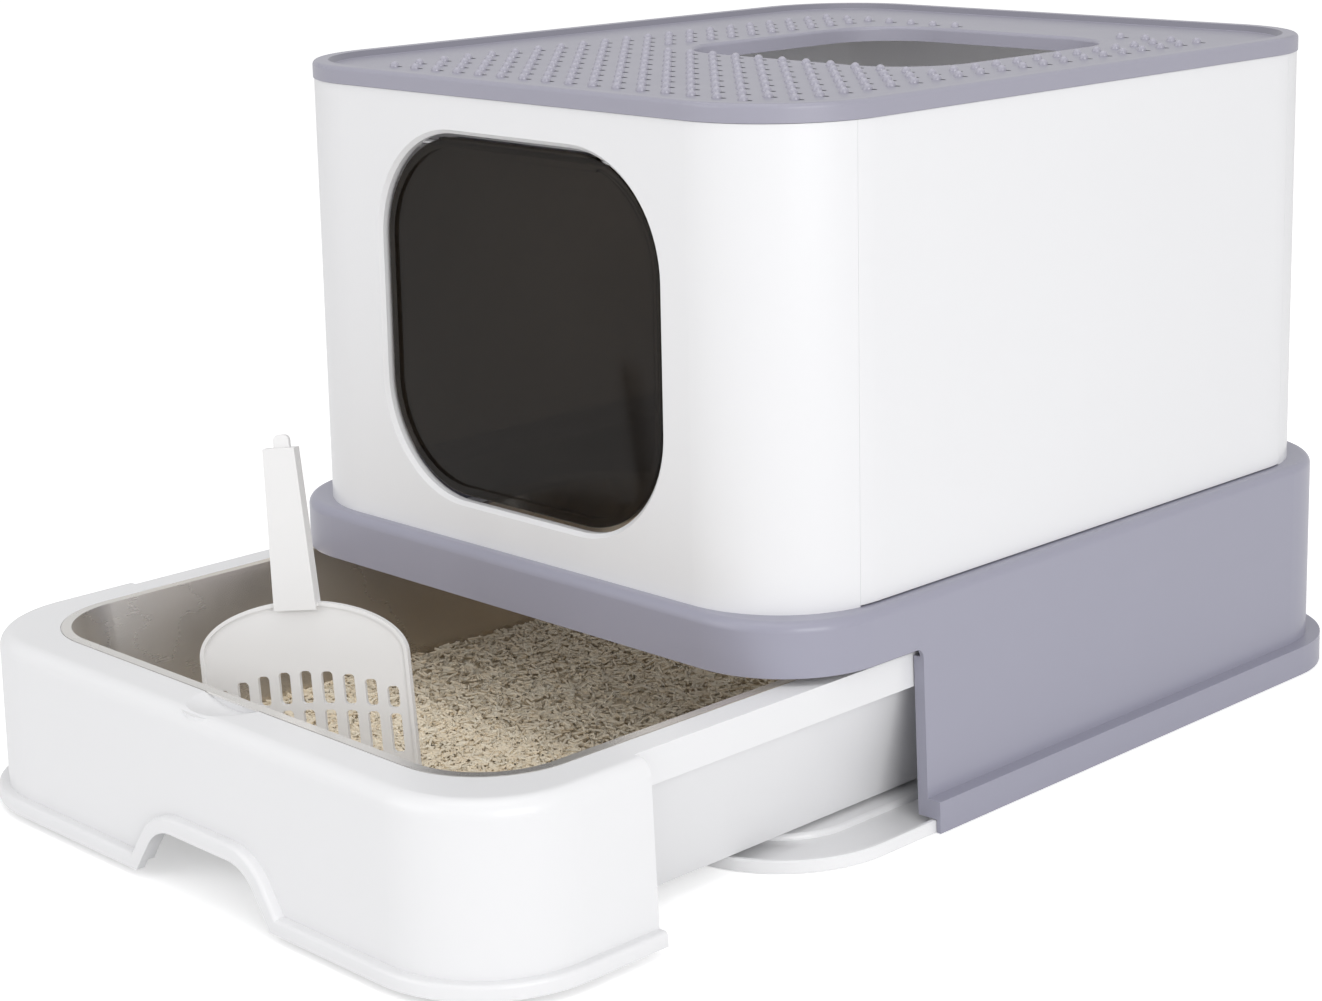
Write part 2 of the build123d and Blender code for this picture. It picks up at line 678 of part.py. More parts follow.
ledge_length = out(tub_rear_y) - out(front_y)
with BuildPart() as drawer_tub:
    add(cowl.part)
    # top plate behind the front, and the ledge hanging from its edge
    add(rounded_block(2 * ledge_half, ledge_length, tub_corner, basin_under, drawer_top,
                      y=out(tub_rear_y) - ledge_length / 2)
        & slab(out(front_y + front_corner), body_depth, 0, lid_top))
    ledge_ring = rounded_block(2 * ledge_half, ledge_length, tub_corner, drawer_top - ledge_drop, basin_under,
                               y=out(tub_rear_y) - ledge_length / 2)
    ledge_ring -= rounded_block(2 * (ledge_half - tub_wall), ledge_length - 2 * tub_wall,
                                tub_corner - tub_wall, drawer_top - ledge_drop, basin_under,
                                y=out(tub_rear_y) - ledge_length / 2)
    add(ledge_ring & slab(out(side_cut_y) - 10.0, body_depth, 0, lid_top))
    add(front_block(front_half - front_round, front_y + front_round, front_corner - front_round,
                    basin_under, drawer_top - 1.0)
        & slab(-2 * body_depth, out(side_cut_y) - 10.0, 0, lid_top))
    # basin, ears and finger recess, hollowed together
    add(tapered_block(basin_low, basin_high, tub_floor_bottom, basin_under))
    for side in (-1, 1):
        with Locations((side * stop_reach, stop_ear_y, stop_bottom)):
            Box(stop_reach - tub_half_bottom + 1.0, stop_length, stop_top - stop_bottom,
                align=(Align.MAX if side > 0 else Align.MIN, Align.MIN, Align.MIN))
    add(tapered_block(inset_outline(basin_low, tub_wall), inset_outline(basin_high, tub_wall),
                      tub_floor_bottom + tub_wall, basin_under), mode=Mode.SUBTRACT)
    with BuildSketch(Plane.XY.offset(drawer_top - recess_depth - tub_wall)):
        with Locations((recess_x, out(pan_front_y))):
            Circle(recess_radius + tub_wall)
        with Locations((recess_x, out(pan_front_y) + pan_bearing)):
            Rectangle(4 * recess_radius, 4 * recess_radius, align=(Align.CENTER, Align.MIN),
                      mode=Mode.SUBTRACT)
    extrude(amount=recess_depth + tub_wall - 1.0)
    ball_radius = (recess_radius ** 2 + recess_depth ** 2) / (2 * recess_depth)
    with BuildPart(mode=Mode.PRIVATE) as dish:
        with Locations((recess_x, out(pan_front_y), drawer_top - recess_depth + ball_radius)):
            Sphere(ball_radius)
    add(dish.part & slab(out(front_y), out(pan_front_y) + recess_undercut, 0, body_top), mode=Mode.SUBTRACT)
    # opening for the pan, with a shallow rebate for its rim
    opening = pan_half - pan_bearing
    add(rounded_block(2 * opening, pan_length - 2 * pan_bearing, pan_corner - pan_bearing,
                      basin_under - 1.0, drawer_top, y=pan_mid_y), mode=Mode.SUBTRACT)
    rebate_half = pan_half + rebate_clearance
    add(rounded_block(2 * rebate_half, pan_length + 2 * rebate_clearance, pan_corner + rebate_clearance,
                      pan_top - pan_sheet, drawer_top, y=pan_mid_y), mode=Mode.SUBTRACT)
save(drawer_tub, "drawer_tub")

# ---------------------------------------------------------------- steel pan
pan_high = (2 * (pan_half - pan_rim), pan_length - 2 * pan_rim, pan_corner - pan_rim, pan_mid_y)
pan_low = (pan_high[0] - 2 * pan_taper_side, pan_high[1] - 2 * pan_taper_end,
           pan_corner - pan_rim - pan_taper_end, pan_mid_y)


def pan_shape(amount, z_low, z_high, corner):
    """The pan's tapered shape drawn in by an amount, with a rounded bottom edge."""
    shape = tapered_block(inset_outline(pan_low, amount), inset_outline(pan_high, amount), z_low, z_high)
    return shape.fillet(corner, shape.edges().group_by(Axis.Z)[0])


with BuildPart() as litter_pan:
    add(pan_shape(0, pan_floor, pan_top, pan_floor_round))
    add(rounded_block(2 * pan_half, pan_length, pan_corner, pan_top - pan_sheet, pan_top, y=pan_mid_y))
    add(pan_shape(pan_sheet, pan_floor + pan_sheet, pan_top, pan_floor_round - pan_sheet), mode=Mode.SUBTRACT)
save(litter_pan, "litter_pan")

with BuildPart() as litter_bed:
    add(pan_shape(pan_sheet + litter_clearance, pan_floor + pan_sheet, pan_top, pan_floor_round - pan_sheet))
    add(slab(-2 * body_depth, body_depth, litter_level, pan_top + 1.0), mode=Mode.SUBTRACT)
save(litter_bed, "litter_bed")

# ---------------------------------------------------------------- scoop
turn = radians(scoop_turn)
lean = radians(scoop_lean)
roll = radians(scoop_roll)
facing = Vector(sin(turn), -cos(turn), 0)
across = Vector(cos(turn), sin(turn), 0)
upright = Vector(0, 0, 1) * cos(lean) - facing * sin(lean)
scoop_normal = facing * cos(lean) + Vector(0, 0, 1) * sin(lean)
scoop_across = across * cos(roll) + upright * sin(roll)
scoop_plane = Plane(origin=(scoop_x, scoop_y, scoop_z), x_dir=scoop_across, z_dir=scoop_normal)


def blade_outline(amount):
    """The blade: straight sides and a flat arch, drawn in by an amount except along the bottom."""
    half = blade_width / 2 - amount
    top = blade_height - amount
    with BuildSketch(scoop_plane) as outline:
        with BuildLine():
            EllipticalCenterArc((0, blade_shoulder), half, top - blade_shoulder, start_angle=0, arc_size=180)
            Polyline((-half, blade_shoulder), (-half, -amount), (half, -amount), (half, blade_shoulder))
        make_face()
    return outline.sketch


def handle_outline(amount):
    """The handle: a long taper from the blade's arch, drawn in by an amount."""
    low = handle_width_low / 2 - amount
    high = handle_width_high / 2 - amount
    start = blade_height - (0 if amount else handle_root)
    end = blade_height + handle_length - amount
    with BuildSketch(scoop_plane) as outline:
        with BuildLine():
            Polyline((-low, start), (low, start), (high, end), (-high, end), close=True)
        make_face()
        top_corners = outline.vertices().filter_by(lambda v: v.Z > scoop_z + blade_height + handle_length / 2)
        fillet(top_corners, 3.0)
    return outline.sketch


with BuildPart() as scoop:
    extrude(blade_outline(0), amount=blade_rim_height)
    extrude(handle_outline(0), amount=handle_depth)
    hollow = extrude(blade_outline(blade_rim_wall), amount=blade_rim_height, mode=Mode.PRIVATE)
    add(hollow.moved(Location(scoop_normal * blade_wall)), mode=Mode.SUBTRACT)
    channel = extrude(handle_outline(handle_wall), amount=handle_depth, mode=Mode.PRIVATE)
    add(channel.moved(Location(scoop_normal * -handle_wall)), mode=Mode.SUBTRACT)
    with BuildSketch(scoop_plane):
        with Locations((0, blade_height + handle_length)):
            RectangleRounded(tab_width, 2 * tab_length, tab_width / 3)
    extrude(amount=handle_wall)
    with BuildSketch(scoop_plane):
        for column in range(slot_columns):
            place = column - (slot_columns - 1) / 2
            bend = (2 * place / (slot_columns - 1)) ** 2
            for low, high in ((slot_rows[0], slot_rows[1] - slot_bend[0] * bend),
                              (slot_rows[2] - slot_bend[0] * bend, slot_rows[3] - slot_bend[1] * bend)):
                with Locations((place * slot_pitch, (low + high) / 2)):
                    RectangleRounded(slot_width, high - low, slot_round)
    extrude(amount=blade_wall, mode=Mode.SUBTRACT)
save(scoop, "scoop")
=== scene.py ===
# %% [markdown]
# # Drawer litter box
# The CAD model already gives every moulded part its true shape and place. This notebook dresses it: it
# stands the parts on a pale floor, gives each finish a material made from nodes, and grows the small
# repeated things, the lid's bumps and the litter's pellets, with Geometry Nodes.

# %% Load the frame
import bpy, math
from mathutils import Matrix, Vector


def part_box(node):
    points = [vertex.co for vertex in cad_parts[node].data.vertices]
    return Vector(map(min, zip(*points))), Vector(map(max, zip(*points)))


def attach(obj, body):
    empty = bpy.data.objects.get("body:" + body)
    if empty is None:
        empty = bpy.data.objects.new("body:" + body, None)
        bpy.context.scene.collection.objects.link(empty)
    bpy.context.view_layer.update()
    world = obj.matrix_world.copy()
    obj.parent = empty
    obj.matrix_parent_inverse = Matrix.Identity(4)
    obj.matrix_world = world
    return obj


mm = 0.001
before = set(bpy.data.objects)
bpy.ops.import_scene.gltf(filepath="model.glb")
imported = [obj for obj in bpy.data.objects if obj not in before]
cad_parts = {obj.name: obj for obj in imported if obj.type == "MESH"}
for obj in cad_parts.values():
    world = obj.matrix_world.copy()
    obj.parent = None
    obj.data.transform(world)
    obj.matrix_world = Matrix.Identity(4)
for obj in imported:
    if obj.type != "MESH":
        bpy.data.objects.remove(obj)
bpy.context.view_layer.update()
print("parts from CAD:", sorted(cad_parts))

# %% [markdown]
# The camera stands where the photographer stood: to the front right of the box and a little above its lid.
# Its place and lens were worked out from straight edges and arcs whose real sizes are known. A small roll is
# kept, and the shift moves the frame without tilting the verticals.

# %% Camera
photo_width, photo_height = 1322, 1001
focal_px = 2713.36
centre_px = (695.81, 318.28)
sensor_width = 36
azimuth, elevation, roll = (math.radians(v) for v in (44.98, 11.33, -1.05))
camera_place = Vector((1051.71, -1151.92, 530.92)) * mm

back = Vector((math.sin(azimuth) * math.cos(elevation), -math.cos(azimuth) * math.cos(elevation),
               math.sin(elevation)))
right = Vector((math.cos(azimuth), math.sin(azimuth), 0))
up = back.cross(right)
rolled_right = right * math.cos(roll) + up * math.sin(roll)
rolled_up = up * math.cos(roll) - right * math.sin(roll)
lens = bpy.data.cameras.new("photo_camera")
lens.sensor_width = sensor_width
lens.lens = focal_px / photo_width * sensor_width
lens.shift_x = (photo_width / 2 - centre_px[0]) / photo_width
lens.shift_y = (centre_px[1] - photo_height / 2) / photo_width
lens.clip_start, lens.clip_end = 0.05, 60
camera = bpy.data.objects.new("photo_camera", lens)
bpy.context.scene.collection.objects.link(camera)
turn = Matrix((rolled_right, rolled_up, back)).transposed()
camera.matrix_world = Matrix.Translation(camera_place) @ turn.to_4x4()
bpy.context.scene.camera = camera
print("lens", round(lens.lens, 2), "mm, shift", round(lens.shift_x, 4), round(lens.shift_y, 4))

# %% [markdown]
# A material is a small sum of patterns, so it reads best as a sum. Each `Wire` stands for one output of one
# node. Adding or multiplying wires adds the Math nodes, and `Bench.node` adds any other node from its type,
# its settings and the values of its sockets.

# %% Shader maths
class Wire:
    """One output socket on a bench, ready for arithmetic."""

    def __init__(self, bench, socket):
        self.bench, self.socket = bench, socket

    def maths(self, operation, *others):
        return self.bench.node("ShaderNodeMath", {"operation": operation}, dict(enumerate((self, *others))))

    def __add__(self, other):
        return self.maths("ADD", other)

    def __sub__(self, other):
        return self.maths("SUBTRACT", other)

    def __mul__(self, other):
        return self.maths("MULTIPLY", other)

    def above(self, edge):
        return self.maths("GREATER_THAN", edge)

    def below(self, edge):
        return self.maths("LESS_THAN", edge)

    def stretch(self, low, high, to_low=0.0, to_high=1.0):
        """The same value, read between two levels and cut off outside them."""
        return self.bench.node("ShaderNodeMapRange", {"clamp": True},
                               {0: self, 1: low, 2: high, 3: to_low, 4: to_high})


class Bench:
    """The node tree of one material, or of the sky, cleared and ready for new nodes."""

    def __init__(self, owner):
        owner.use_nodes = True
        self.owner, self.tree = owner, owner.node_tree
        self.tree.nodes.clear()
        self.place = self.node("ShaderNodeTexCoord", out="Object")

    def node(self, kind, settings=None, sockets=None, out=0):
        made = self.tree.nodes.new(kind)
        for key, value in (settings or {}).items():
            setattr(made, key, value)
        for key, value in (sockets or {}).items():
            socket = made.inputs[key]
            if isinstance(value, Wire):
                self.tree.links.new(value.socket, socket)
            elif socket.type == "RGBA":
                socket.default_value = (*value, 1)
            else:
                socket.default_value = value
        return Wire(self, made.outputs[out])

    def noise(self, per_metre, detail=2.0, stretch=(1, 1, 1), rough=0.5):
        spot = self.place
        if stretch != (1, 1, 1):
            spot = self.node("ShaderNodeMapping", None, {"Vector": spot, "Scale": stretch})
        return self.node("ShaderNodeTexNoise", None,
                         {"Vector": spot, "Scale": per_metre, "Detail": detail, "Roughness": rough})

    def blend(self, first, second, amount):
        """Colour from first to second."""
        return self.node("ShaderNodeMix", {"data_type": "RGBA"}, {0: amount, 6: first, 7: second}, out=2)

    def bump(self, height, depth, strength, under=None):
        sockets = {"Height": height, "Distance": depth, "Strength": strength}
        if under is not None:
            sockets["Normal"] = under
        return self.node("ShaderNodeBump", None, sockets)

    def ray(self, kind):
        """One for rays of a kind, zero for all others."""
        return self.node("ShaderNodeLightPath", out=kind)

    def end(self, kind, light):
        """Closes the tree in its output node and gives back what it belongs to."""
        outlet = self.tree.nodes.new(kind)
        self.tree.links.new(light.socket, outlet.inputs["Surface"])
        return self.owner

    def finish(self, **sockets):
        """Ends a material in a Principled shader whose sockets are given by name, with _ for a space."""
        shader = self.node("ShaderNodeBsdfPrincipled", None,
                           {key.replace("_", " "): value for key, value in sockets.items()})
        return self.end("ShaderNodeOutputMaterial", shader)


def material_bench(name):
    return Bench(bpy.data.materials.new(name))


print("bench ready")

# %% [markdown]
# The studio is plain: a wide pale floor, a white sky for what the camera sees, and soft lamps at a level
# where a colour renders about as it is written. Light Path tells the floor and the sky which rays may see
# them white, so the background stays white while the object isn't overlit. A weak fourth lamp stands for the
# daylight that thin white walls let into the room under the lid.

# %% Floor, sky and lamps
floor_reach = 14.0
floor_drop = 0.4 * mm
floor_glow_seen, floor_glow_mirrored = 0.46, 0.12
ambient = 0.66

floor_mesh = bpy.data.meshes.new("studio_floor")
floor_corners = [(x * floor_reach, y * floor_reach, 0) for x, y in ((-1, -1), (1, -1), (1, 1), (-1, 1))]
floor_mesh.from_pydata(floor_corners, [], [(0, 1, 2, 3)])
floor = bpy.data.objects.new("studio_floor", floor_mesh)
floor.location.z = -floor_drop
bpy.context.scene.collection.objects.link(floor)
bench = material_bench("studio_floor")
floor_mesh.materials.append(bench.finish(
    Base_Color=bench.blend((0.87, 0.87, 0.875), (0.90, 0.90, 0.90), bench.noise(3.0)),
    Roughness=0.9, Specular_IOR_Level=0.0, Emission_Color=(1, 1, 1),
    Emission_Strength=bench.ray("Is Camera Ray") * floor_glow_seen
    + bench.ray("Is Glossy Ray") * floor_glow_mirrored
    + bench.ray("Is Transmission Ray") * floor_glow_mirrored))

bench = Bench(bpy.data.worlds.new("studio_sky"))
sees_white = bench.ray("Is Camera Ray") + bench.ray("Is Transmission Ray")
sky_light = bench.node("ShaderNodeBackground", None,
                       {"Color": (1, 1, 1), "Strength": sees_white.stretch(0.0, 1.0, ambient, 1.0)})
bpy.context.scene.world = bench.end("ShaderNodeOutputWorld", sky_light)
bpy.context.scene.view_settings.view_transform = "Standard"


def soft_lamp(name, place, aim, size, watts):
    """A square area lamp that faces a point."""
    lamp = bpy.data.lights.new(name, "AREA")
    lamp.shape, lamp.size, lamp.energy = "SQUARE", size, watts
    holder = bpy.data.objects.new(name, lamp)
    holder.location = place
    holder.rotation_euler = (Vector(aim) - Vector(place)).to_track_quat("-Z", "Y").to_euler()
    bpy.context.scene.collection.objects.link(holder)
    return holder


heart = (0, -0.1, 0.18)
soft_lamp("key_right", (2.6, -1.1, 1.0), heart, size=1.6, watts=29)
soft_lamp("fill_front", (-0.9, -2.6, 1.3), heart, size=1.8, watts=13.5)
soft_lamp("top_soft", (0.1, -0.4, 2.5), heart, size=1.8, watts=11)
room_glow = soft_lamp("room_glow", (0.06, -0.06, 0.31), (-0.05, 0.2, 0.24), size=0.12, watts=0.15)
room_glow.visible_camera = room_glow.visible_glossy = room_glow.visible_transmission = False
print("sky at", ambient, "and four soft lamps")

# %% [markdown]
# Most of the box is moulded plastic. Up close such a surface is never one flat colour: the granules it was
# moulded from mix unevenly, the mould leaves a fine spark-eroded grain, and handling polishes it here and
# there. Noises at three sizes give those, and a slow wave stands for the way a thin wall shrinks unevenly as
# it cools. Only their strength differs between the finishes. On the lid, the sloping wall between rim and
# deck is painted darker: painted shade for a wall that sees less light.

# %% Moulded plastics
lid_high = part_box("lid_frame")[1]
lid_corner, lid_rim, deck_sink = 67 * mm, 9 * mm, 3.5 * mm
deck_level = lid_high[2] - deck_sink
wave_depth, wave_shows = 0.6 * mm, 0.25
# How dark the painted shade on the lid's sloping wall is, as a share of the lid's colour.
wall_shade_level = 0.70


def moulded(name, colour, shade, rough, grain, coat=0.0, grain_shows=0.3, wall_shade_mask=None):
    """A plastic with a slow change of shade, patches of polish and a fine mould grain."""
    bench = material_bench(name)
    slow = bench.noise(5.0, 2.0)
    patches = bench.noise(34.0, 3.0)
    fine = bench.noise(2600.0, 1.0)
    waves = bench.noise(5.0, 1.0)
    deep = tuple(c * (1 - shade) for c in colour)
    tone = bench.blend(deep, colour, slow.stretch(0.3, 0.7) * 0.8 + patches * 0.2)
    # Painted shade: where the mask is one, the colour is painted darker.
    if wall_shade_mask:
        tone = bench.blend(tone, tuple(c * wall_shade_level for c in colour), wall_shade_mask(bench))
    skin = bench.bump(waves, wave_depth, wave_shows)
    return bench.finish(Base_Color=tone, Roughness=patches.stretch(0.3, 0.7, *rough), Coat_Weight=coat,
                        Coat_Roughness=0.12, IOR=1.46, Normal=bench.bump(fine, grain, grain_shows, skin))


# The mask for the painted shade on the lid's sloping wall.
def lid_wall(bench, margin=0.2 * mm, foot=0.3 * mm):
    """One on the sloping wall between the lid's rim and its deck, and zero elsewhere."""
    x, y, z = (bench.node("ShaderNodeSeparateXYZ", None, {0: bench.place}, out=k) for k in range(3))
    over_x = (x.maths("ABSOLUTE") - (lid_high[0] - lid_corner)).maths("MAXIMUM", 0.0)
    over_y = (y.maths("ABSOLUTE") - (lid_high[1] - lid_corner)).maths("MAXIMUM", 0.0)
    from_corner = (over_x * over_x + over_y * over_y).maths("SQRT")
    return from_corner.below(lid_corner - lid_rim + margin) * z.above(deck_level + foot)


white_gloss = moulded("white_panel", (0.81, 0.81, 0.825), 0.01, (0.28, 0.30), 0.005 * mm, coat=0.25)
white_drawer = moulded("white_drawer", (0.81, 0.81, 0.822), 0.01, (0.31, 0.33), 0.005 * mm, coat=0.15)
white_tray = moulded("white_tray", (0.88, 0.88, 0.89), 0.02, (0.16, 0.22), 0.005 * mm, coat=0.4)
white_scoop = moulded("white_scoop", (0.83, 0.825, 0.825), 0.015, (0.34, 0.38), 0.01 * mm)
grey_base = moulded("grey_base", (0.335, 0.332, 0.408), 0.02, (0.30, 0.33), 0.01 * mm, coat=0.15)
grey_lid = moulded("grey_lid", (0.345, 0.338, 0.406), 0.03, (0.32, 0.36), 0.02 * mm, coat=0.1, wall_shade_mask=lid_wall)
# Painted highlight: the bumps are the lid's own plastic, painted lighter than the lid.
grey_bump_highlight = moulded("grey_bump_highlight", (0.43, 0.42, 0.49), 0.03, (0.20, 0.26), 0.02 * mm, coat=0.3, grain_shows=0.6)
plain_nylon = moulded("plain_nylon", (0.72, 0.72, 0.70), 0.06, (0.42, 0.52), 0.03 * mm, grain_shows=0.6)
print("plastics:", [m.name for m in (white_gloss, white_drawer, white_tray, white_scoop, grey_base, grey_lid,
                                     grey_bump_highlight, plain_nylon)])

# %% [markdown]
# The flap is smoked acrylic: clear plastic with a dark brown dye. It is a real refracting sheet here, so its
# edge shines and a trace of the room behind comes through. Fine wipe marks vary its gloss.

# %% Smoked flap
dye, thin_dye = (0.055, 0.043, 0.032), (0.072, 0.058, 0.045)
bench = material_bench("smoked_flap")
wipe = bench.noise(26.0, 4.0, (1, 1, 3.0))
smoked_flap = bench.finish(
    Base_Color=bench.blend(dye, thin_dye, bench.noise(11.0)),
    Roughness=wipe.stretch(0.35, 0.7, 0.05, 0.12), Transmission_Weight=0.9, IOR=1.24,
    Normal=bench.bump(bench.noise(16.0, 1.0), wave_depth, wave_shows))
print("flap dye", dye)

# %% [markdown]
# The pan is deep-drawn stainless steel with a faint satin brush that runs along its walls. Stretching a
# noise makes it a bundle of scratches; the same bundle moves the colour, the gloss and the bump, so that
# all three agree. A cloud of finger marks does most to the colour and the gloss, and towards the rear, under
# the housing, the pan is painted warmer and darker: painted shade and painted reflection of the dim inside.

# %% Steels
brush_share, brush_shows = 0.1, 0.08
dull_level = 0.82


def steel(name, colour, along, rough, scratch=0.03 * mm, metal=1.0, rear_shade=None):
    """Brushed steel, with a painted shade that grows between two places in y."""
    bench = material_bench(name)
    brush = bench.noise(240.0, 3.0, along, 0.7)
    cloud = bench.noise(14.0, 3.0)
    marks = brush * brush_share + cloud * (1 - brush_share)
    tone = bench.blend(tuple(c * dull_level for c in colour), colour, marks)
    # Painted shade: towards the rear, under the housing, the steel is painted warmer and darker, like the dim
    # inside it reflects there.
    if rear_shade:
        shade_tint, unshaded_y, shaded_y = rear_shade
        along_y = bench.node("ShaderNodeSeparateXYZ", None, {0: bench.place}, out=1)
        tone = bench.blend(tone, shade_tint, (along_y + cloud * 0.05).stretch(unshaded_y, shaded_y))
    return bench.finish(Base_Color=tone, Metallic=metal, Roughness=marks.stretch(0.3, 0.7, *rough),
                        Normal=bench.bump(brush, scratch, brush_shows))


pan_steel = steel("pan_steel", (0.92, 0.90, 0.87), (0.04, 0.04, 2.0), (0.22, 0.32), scratch=0.005 * mm,
                  metal=0.8, rear_shade=((0.70, 0.62, 0.51), -0.38, -0.15))
screw_steel = steel("screw_steel", (0.56, 0.56, 0.57), (1.0, 1.0, 0.1), (0.22, 0.34))
print("steels:", pan_steel.name, screw_steel.name)

# %% [markdown]
# The litter is pressed plant fibre, extruded as thin rods and broken into short lengths. Rods differ a
# little in colour from each other, so the pellets' colour comes from a noise at about the size of a rod. The
# bed below them is the same stuff, painted a little darker as shade in the gaps between pellets.

# %% Litter finishes
def fibre(name, dark, light, spread):
    bench = material_bench(name)
    rods = bench.noise(150.0, 2.0)
    flecks = bench.noise(900.0, 2.0)
    tone = bench.blend(dark, light, (rods * 0.75 + flecks * 0.25).stretch(0.5 - spread, 0.5 + spread))
    return bench.finish(Base_Color=tone, Roughness=flecks.stretch(0.3, 0.7, 0.75, 0.92),
                        Specular_IOR_Level=0.25, Normal=bench.bump(flecks, 0.3 * mm, 0.7))


pellet_fibre = fibre("pellet_fibre", (0.90, 0.77, 0.58), (0.99, 0.93, 0.79), 0.22)
# Painted shade: the bed is the pellets' own fibre painted darker, for the shaded litter between and under the
# pellets.
bed_fibre = fibre("bed_fibre", (0.66, 0.56, 0.41), (0.92, 0.81, 0.63), 0.20)
print("litter finishes ready")

# %% Give every CAD part its finish
finishes = {
    white_gloss: ("front_panel", "rear_panel", "left_panel", "right_panel"),
    white_drawer: ("drawer_tub",),
    white_tray: ("floor_tray",),
    white_scoop: ("scoop",),
    grey_base: ("base_shell",),
    grey_lid: ("lid_frame",),
    plain_nylon: ("left_runner", "right_runner", "front_left_clips", "front_right_clips", "rear_left_clips",
                  "rear_right_clips"),
    smoked_flap: ("entry_flap",),
    screw_steel: ("flap_pin", "base_screws"),
    pan_steel: ("litter_pan",),
    bed_fibre: ("litter_bed",),
}
dressed = 0
for material, names in finishes.items():
    for name in names:
        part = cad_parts[name]
        part.data.materials.clear()
        part.data.materials.append(material)
        dressed += 1
print("dressed", dressed, "of", len(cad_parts), "parts")

# %% [markdown]
# Geometry Nodes make what repeats. A tree is a recipe with named inputs, so the lid's bumps can be respaced
# or resized without touching the recipe. These helpers build a tree, set its inputs by their identifiers,
# run it once, and keep the plain mesh that comes out.

# %% Helpers for Geometry Nodes
class Recipe:
    """A geometry tree with named inputs."""

    def __init__(self, name, **inputs):
        self.tree = bpy.data.node_groups.new(name, "GeometryNodeTree")
        self.tree.interface.new_socket("Geometry", in_out="OUTPUT", socket_type="NodeSocketGeometry")
        self.tree.interface.new_socket("Geometry", in_out="INPUT", socket_type="NodeSocketGeometry")
        self.keys, self.values = {}, inputs
        kinds = {float: "NodeSocketFloat", int: "NodeSocketInt"}
        for key, value in inputs.items():
            kind = kinds.get(type(value), "NodeSocketMaterial")
            socket = self.tree.interface.new_socket(key, in_out="INPUT", socket_type=kind)
            self.keys[key] = socket.identifier
        self.entry = self.tree.nodes.new("NodeGroupInput")

    def given(self, key):
        return self.entry.outputs[key]

    def add(self, kind, settings=None, sockets=None):
        made = self.tree.nodes.new(kind)
        for key, value in (settings or {}).items():
            setattr(made, key, value)
        for key, value in (sockets or {}).items():
            if isinstance(value, bpy.types.NodeSocket):
                self.tree.links.new(value, made.inputs[key])
            else:
                made.inputs[key].default_value = value
        return made

    def maths(self, operation, *terms):
        return self.add("ShaderNodeMath", {"operation": operation}, dict(enumerate(terms))).outputs[0]

    def away(self, value, centre):
        """How far a value lies from a centre, to either side."""
        return self.maths("ABSOLUTE", self.maths("SUBTRACT", value, centre))

    def both(self, first, second):
        """One where two tests both hold."""
        return self.maths("MULTIPLY", first, second)

    def vector(self, x=0.0, y=0.0, z=0.0):
        return self.add("ShaderNodeCombineXYZ", None, {0: x, 1: y, 2: z}).outputs[0]

    def change(self, geometry, **how):
        """The geometry moved, turned or scaled."""
        return self.add("GeometryNodeTransform", None, {"Geometry": geometry, **how}).outputs[0]

    def drop(self, geometry, where):
        """The geometry without the points for which a test holds."""
        return self.add("GeometryNodeDeleteGeometry", {"domain": "POINT"},
                        {"Geometry": geometry, "Selection": where}).outputs[0]

    def set_out(self, points, piece, **how):
        """A copy of a piece on every point."""
        return self.add("GeometryNodeInstanceOnPoints", None,
                        {"Points": points, "Instance": piece, **how}).outputs[0]

    def close(self, geometry):
        """Ends the tree: real geometry instead of instances, and the material."""
        real = self.add("GeometryNodeRealizeInstances", None, {"Geometry": geometry}).outputs[0]
        coated = self.add("GeometryNodeSetMaterial", None,
                          {"Geometry": real, "Material": self.given("Material")}).outputs[0]
        outlet = self.tree.nodes.new("NodeGroupOutput")
        self.tree.links.new(coated, outlet.inputs[0])

    def bake(self, piece, smooth=True):
        """Runs the recipe on an object and keeps the result as that object's own plain mesh."""
        modifier = piece.modifiers.new("recipe", "NODES")
        modifier.node_group = self.tree
        for key, identifier in self.keys.items():
            modifier[identifier] = self.values[key]
        bpy.context.view_layer.update()
        graph = bpy.context.evaluated_depsgraph_get()
        result = bpy.data.meshes.new_from_object(piece.evaluated_get(graph))
        piece.modifiers.remove(modifier)
        piece.data = result
        for face in result.polygons:
            face.use_smooth = smooth
        result.calc_loop_triangles()
        print(piece.name, "has", len(result.loop_triangles), "triangles")
        return piece


def blank(name):
    """An empty mesh object at the origin, for a recipe to fill."""
    piece = bpy.data.objects.new(name, bpy.data.meshes.new(name))
    bpy.context.scene.collection.objects.link(piece)
    return piece


# %% [markdown]
# The lid is a stepping mat: round bumps 5 mm across stand on an even grid and knock the litter off a cat's
# paws. The grid leaves out the round-cornered hole, the strip behind it and the front right corner. A grid of
# points, a test of each point's place and one small dome are all it takes. Each dome is the upper half of a
# ball, cut just below its widest ring.

# %% Lid bumps
hole_centre = (19 * mm, 50 * mm)
hole_size = (194 * mm, 192 * mm)
hole_margin = 8 * mm
corner_from = (138 * mm, 190 * mm)
strip_centre, strip_half, strip_from = 37.5 * mm, 54 * mm, 150 * mm
grid_centre = (10.6 * mm, -21 * mm)
bump_grid = {"Pitch": 17.93 * mm, "Columns": 17, "Rows": 21}
bump_radius, bump_height = 2.7 * mm, 3.0 * mm
ball_cut = -0.01


